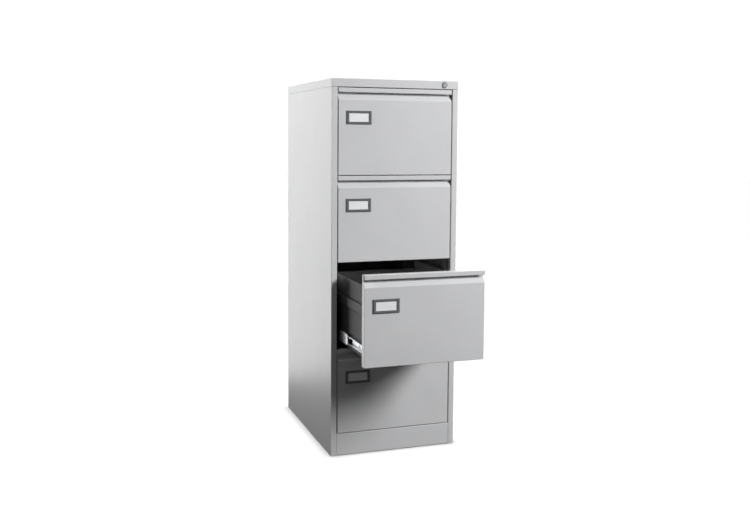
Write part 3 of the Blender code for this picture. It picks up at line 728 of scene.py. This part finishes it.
def slots_along(piece, side, web, z, spots, half_length, half_height, steps=4):
    """Oblong fixing holes through the web of a slide member, rounded at their narrow ends."""
    bm = bmesh.new()
    x0, x1 = sorted((side * (web - 0.004), side * (web + 0.004)))
    radius = min(half_length, half_height)
    for y in spots:
        ring = []
        for quarter, (sy, sz) in enumerate(((1, 1), (-1, 1), (-1, -1), (1, -1))):
            for step in range(steps + 1):
                angle = math.pi / 2 * (quarter + step / steps)
                spot = (y + sy * (half_length - radius) + radius * math.cos(angle),
                        z + sz * (half_height - radius) + radius * math.sin(angle))
                if not ring or math.dist(ring[-1], spot) > 1e-6 and math.dist(ring[0], spot) > 1e-6:
                    ring.append(spot)
        near = [bm.verts.new((x0, a, b)) for a, b in ring]
        far = [bm.verts.new((x1, a, b)) for a, b in ring]
        bm.faces.new(near)
        bm.faces.new(far)
        for index in range(len(ring)):
            after = (index + 1) % len(ring)
            bm.faces.new((near[index], near[after], far[after], far[index]))
    bmesh.ops.recalc_face_normals(bm, faces=bm.faces[:])
    cut(piece, new_object("cutter", bm, ZINC))


def screw_head(x, y, z, side, radius=0.0036, proud=0.0013):
    """Domed rivet head that faces along X, as a closed lathe shape."""
    profile = [(0.0, 0.0), (0.0, radius), (proud * 0.35, radius * 0.97), (proud * 0.75, radius * 0.75),
               (proud, radius * 0.4), (proud, 0.0)]
    return turned([(side * along, r) for along, r in profile], (x, y, z), 24, "X")


def slide(number, side_name, side):
    """One telescopic slide: three channels, two rows of caged balls, rivets and bumpers."""
    stem = f"drawer_{number}_{side_name}"
    drawer_body, middle_body = f"drawer_{number}", f"drawer_{number}_middle_rails"
    fixed, _, low, high = rail(f"{stem}_fixed_member", f"{stem}_cabinet_rail", side, -1)
    centre = (low.z + high.z) / 2
    belongs(settle(fixed), "cabinet", "zinc", f"{stem}_cabinet_rail")

    middle, middle_web, middle_low, middle_high = rail(f"{stem}_middle_member", f"{stem}_middle_rail",
                                                       side, -1)
    slots_along(middle, side, middle_web, centre, (middle_low.y + 0.030, middle_high.y - 0.040),
                0.006, 0.0028)
    belongs(settle(middle), middle_body, "zinc", f"{stem}_middle_rail")

    inner, web, low, high = rail(f"{stem}_drawer_member", f"{stem}_drawer_rail", side, 1)
    slots_along(inner, side, web, centre, (low.y + 0.022, low.y + 0.300), 0.0018, 0.0048)
    belongs(settle(inner), drawer_body, "zinc", f"{stem}_drawer_rail")

    rivets = bmesh.new()
    for y in (low.y + 0.060, low.y + 0.200, low.y + 0.350, high.y - 0.040):
        absorb(rivets, screw_head(side * (web + SLIDE_SHEET + 0.00002), y, centre, side))
    belongs(settle(new_object(f"{stem}_rivets", rivets, ZINC_PLATE)), drawer_body, "zinc")

    # Ball cages ride with the middle member: an outer pair on it, an inner pair inside it.
    half_middle = (middle_high.z - middle_low.z) / 2
    half_inner = (high.z - low.z) / 2
    outer_x = side * (middle_web - 0.0052)
    inner_x = side * (middle_web - 0.0050)
    for label, radius_z, x, start, length in (
            ("outer", half_middle + BALL_SPACE / 2, outer_x, middle_low.y + 0.150, 0.190),
            ("inner", half_inner + BALL_SPACE / 2, inner_x, middle_low.y + 0.016, 0.150)):
        cage = bmesh.new()
        balls = bmesh.new()
        for direction in (-1, 1):
            z = centre + direction * radius_z
            absorb(cage, ball_strip(x, z, start, length))
            y = start + BALL_PITCH / 2
            while y < start + length:
                ball = bmesh.new()
                bmesh.ops.create_icosphere(ball, subdivisions=2, radius=BALL_RADIUS)
                bmesh.ops.translate(ball, verts=ball.verts, vec=(x, y, z))
                absorb(balls, ball)
                y += BALL_PITCH
        belongs(settle(new_object(f"{stem}_{label}_ball_cage", cage, ZINC_PLATE)), middle_body, "zinc")
        belongs(settle(new_object(f"{stem}_{label}_balls", balls, CHROME), 60), middle_body, "lock_chrome")

    bumper(f"{stem}_bumper", middle_body, side, middle_web, centre, middle_low.y, half_inner)


def ball_strip(x, z, start, length):
    """A thin cage strip with its row of ball seats left open between narrow bridges."""
    bm = bmesh.new()
    thick, reach, hole = 0.0003, 0.0026, 0.00165
    count = int(length / BALL_PITCH)
    absorb(bm, box_mesh((x - reach, start, z - thick), (x - hole, start + length, z + thick)))
    absorb(bm, box_mesh((x + hole, start, z - thick), (x + reach, start + length, z + thick)))
    for index in range(count + 1):
        y = start + index * BALL_PITCH
        y1 = min(y + BALL_PITCH / 2 - hole, start + length)
        y0 = max(y - BALL_PITCH / 2 + hole, start)
        if y1 - y0 > 0.0005:
            absorb(bm, box_mesh((x - hole, y0, z - thick), (x + hole, y1, z + thick)))
    return bm


def bumper(name, body, side, web, centre, front, half_inner):
    """Black moulded stop at the front end of the middle member."""
    x0, x1 = sorted((side * (web - SLIDE_SHEET - 0.0004), side * (web - 0.0022)))
    bm = box_mesh((x0, front - 0.0045, centre - half_inner + 0.006),
                  (x1, front + 0.006, centre + half_inner - 0.006))
    piece = new_object(name, bm, BLACK)
    round_edges(piece, 0.0003, 2)
    belongs(settle(piece), body, "plastic")


# ---------------------------------------------------------------- lock
def lock():
    low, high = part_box("lock_housing")
    plug_low, plug_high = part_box("lock_plug")
    centre = Vector(((low.x + high.x) / 2, FACE, (low.z + high.z) / 2))
    rim = (high.x - low.x) / 2
    bore = (plug_high.x - plug_low.x) / 2 + PLUG_CLEARANCE
    flange_front = low.y - FACE
    body_back = high.y - FACE
    profile = [(flange_front + 0.0006, bore), (flange_front, bore + 0.0005), (flange_front, rim - 0.0016),
               (flange_front + 0.0003, rim - 0.0007), (flange_front + 0.0010, rim - 0.0001),
               (flange_front + 0.0014, rim), (-FIT, rim), (-FIT, LOCK_BODY_RADIUS),
               (body_back - 0.0006, LOCK_BODY_RADIUS), (body_back, 0.0084), (body_back, bore),
               (flange_front + 0.0006, bore)]
    ring = new_object("lock_barrel", turned(profile, centre), CHROME)
    belongs(settle(ring), "cabinet", "lock_chrome", "lock_housing")
    radius = bore - PLUG_CLEARANCE
    front = plug_low.y - FACE
    back = plug_high.y - FACE
    plug_profile = [(front, 0.0), (front, radius - 0.0006), (front + 0.0002, radius - 0.0002),
                    (front + 0.0006, radius), (back, radius), (back, 0.0)]
    plug = new_object("lock_core_plug", turned(plug_profile, centre), CHROME)
    cut_front, cut_back = plug_low.y - CUTTER_CLEAR, plug_low.y + KEYWAY_DEPTH
    keyway = cutter_box((centre.x - KEYWAY_HALF_WIDTH, cut_front, centre.z - KEYWAY_HALF_HEIGHT),
                        (centre.x + KEYWAY_HALF_WIDTH, cut_back, centre.z + KEYWAY_HALF_HEIGHT))
    ward = cutter_box((centre.x - 0.0020, cut_front, centre.z - 0.0006),
                      (centre.x - 0.0005, cut_back, centre.z + 0.0010))
    cut(plug, keyway, ward)
    belongs(settle(plug), "lock_core", "lock_chrome", "lock_plug")


# ---------------------------------------------------------------- build
for side_label, side_sign in SIDES:
    side_panel(side_label, side_sign)
    for post_place in ("front", "rear"):
        post(side_label, side_sign, post_place)
back_sheet()
cover_sheet()
plinth_sheet()
lock()
for drawer_number in DRAWERS:
    front_sheet(drawer_number)
    liner_sheet(drawer_number)
    tray_shell(drawer_number)
    label_frame(drawer_number)
    for side_label, side_sign in SIDES:
        slide(drawer_number, side_label, side_sign)

for cad_name, look, slot_name in (("base_pan", PAINT_SHADED_INSIDE, "paint"), ("lock_cam", ZINC_PLATE, "zinc"),
                                  ("locking_bar", ZINC_PLATE, "zinc"),
                                  ("locking_bar_lower_guide", BLACK, "plastic"),
                                  ("locking_bar_upper_guide", BLACK, "plastic")):
    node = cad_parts[cad_name]
    node.data.materials.clear()
    node.data.materials.append(look)


# ---------------------------------------------------------------- floor, light and camera
def area_light(name, location, target, size, power):
    data = bpy.data.lights.new(name, "AREA")
    data.shape = "RECTANGLE"
    data.size, data.size_y = size
    data.energy = power
    light = bpy.data.objects.new(name, data)
    light.location = location
    light.rotation_euler = (Vector(target) - Vector(location)).to_track_quat("-Z", "Y").to_euler()
    bpy.context.scene.collection.objects.link(light)
    return light


def link_to(light, name, members):
    """The light reaches only these objects."""
    group = bpy.data.collections.new(name)
    for member in members:
        group.objects.link(member)
    light.light_linking.receiver_collection = group


def pale_stage():
    """Pale floor under the object, and a plain white surround that only the camera sees."""
    n = Nodes("floor_paper")
    tone = n.blend(n.spread(n.noise(3.0, 3.0), 0.0, 1.0), (0.905, 0.905, 0.905), (0.92, 0.92, 0.92))
    n.finish(tone, n.spread(n.noise(9.0), 0.80, 0.90), Specular_IOR_Level=0.2)
    bm = bmesh.new()
    bmesh.ops.create_grid(bm, x_segments=1, y_segments=1, size=30)
    floor = new_object("floor", bm, n.material)
    floor.location.z = -0.0005
    floor.visible_diffuse = False
    floor.visible_glossy = False
    white = bpy.data.materials.new("surround_white")
    white.use_nodes = True
    shader = white.node_tree.nodes["Principled BSDF"]
    shader.inputs["Base Color"].default_value = (0, 0, 0, 1)
    shader.inputs["Emission Color"].default_value = (1, 1, 1, 1)
    shader.inputs["Emission Strength"].default_value = 1.1
    dome_bm = bmesh.new()
    bmesh.ops.create_uvsphere(dome_bm, u_segments=48, v_segments=24, radius=28)
    surround = new_object("surround", dome_bm, white)
    for flag in ("visible_diffuse", "visible_glossy", "visible_transmission", "visible_shadow"):
        setattr(surround, flag, False)
    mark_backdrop(floor, surround)
    return floor


floor = pale_stage()
world = bpy.data.worlds.new("studio")
world.use_nodes = True
world.node_tree.nodes["Background"].inputs["Color"].default_value = (1, 1, 1, 1)
world.node_tree.nodes["Background"].inputs["Strength"].default_value = 0.012
bpy.context.scene.world = world
bpy.context.scene.view_settings.view_transform = "Standard"

object_pieces = [item for item in bpy.context.scene.objects if item.type == "MESH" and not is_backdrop(item)]
key = area_light("key", (2.70, FACE - 2.60, 2.66), (0.0, FACE, 0.75), (1.45, 1.45), 242)
link_to(key, "key_receivers", object_pieces)
key.visible_glossy = False            # broad and matt, so the sloping faces show no hot spot
OUTSIDE = ("side_sheet", "cover_sheet", "plinth_sheet", "face_sheet", "label_frame", "_card", "lock_")
outside = [item for item in object_pieces if any(word in item.name for word in OUTSIDE)]
fill = area_light("left_fill", (-2.4, -0.1, 2.4), (-0.235, 0.0, 1.05), (1.4, 1.4), 50)
link_to(fill, "fill_receivers", outside)
front_fill = area_light("front_fill", (-0.85, FACE - 3.6, 0.9), (0.0, FACE, 0.3), (1.2, 1.0), 8.5)
link_to(front_fill, "front_fill_receivers", outside)
sheen = area_light("sheen", (-1.0, 2.5, 0.74), (-0.235, 0.0, 0.74), (1.5, 2.5), 23.5)
link_to(sheen, "sheen_receivers", object_pieces)
sheen.light_linking.blocker_collection = sheen.light_linking.receiver_collection
lock_card = area_light("lock_card", (1.9, FACE - 3.5, 1.6), (0.182, FACE, 1.3065), (1.6, 1.6), 7)
link_to(lock_card, "lock_card_receivers", [item for item in object_pieces if item.name.startswith("lock_")])
rear = area_light("rear_soft", (1.2, 3.0, 1.8), (0.0, REAR, 0.7), (2.2, 2.2), 50)
link_to(rear, "rear_receivers", object_pieces)
overhead = bpy.data.lights.new("overhead", "SUN")
overhead.energy = 3.6
overhead.angle = math.radians(4)
overhead_object = bpy.data.objects.new("overhead", overhead)
bpy.context.scene.collection.objects.link(overhead_object)
link_to(overhead_object, "floor_receivers", [floor])
shadow_group = bpy.data.collections.new("floor_shadow")
for item in object_pieces:
    if item.name in ("left_side_sheet", "right_side_sheet", "plinth_sheet", "cover_sheet", "base_pan"):
        shadow_group.objects.link(item)
overhead_object.light_linking.blocker_collection = shadow_group

# The photo has been corrected for perspective, so the lens is shifted a little as well as tilted.
FRAME_WIDTH, FRAME_HEIGHT = 750, 508  # pixels of the photo's frame
FOCAL_PIXELS = 910.04
HORIZON_ROW = 215.0
CAMERA_OFFSET = Vector((-1.1246, -2.9949, 1.1171))
CAMERA_TURN = (-19.2925, -4.822, -0.4195)
camera_data = bpy.data.cameras.new("view")
camera_data.sensor_width = 36.0
camera_data.lens = FOCAL_PIXELS / FRAME_WIDTH * camera_data.sensor_width
camera_data.shift_y = -(FRAME_HEIGHT / 2 - HORIZON_ROW) / FRAME_WIDTH
camera_data.clip_end = 100
camera = bpy.data.objects.new("view", camera_data)
camera.location = CAMERA_OFFSET + Vector((0, FACE, 0))
yaw, pitch, roll = (math.radians(a) for a in CAMERA_TURN)
camera.rotation_mode = "QUATERNION"
turn = Matrix.Rotation(yaw, 3, "Z") @ Matrix.Rotation(pitch, 3, "X") @ Matrix.Rotation(roll, 3, "Y")
camera.rotation_quaternion = (turn @ Matrix.Rotation(math.pi / 2, 3, "X")).to_quaternion()
bpy.context.scene.collection.objects.link(camera)
bpy.context.scene.camera = camera
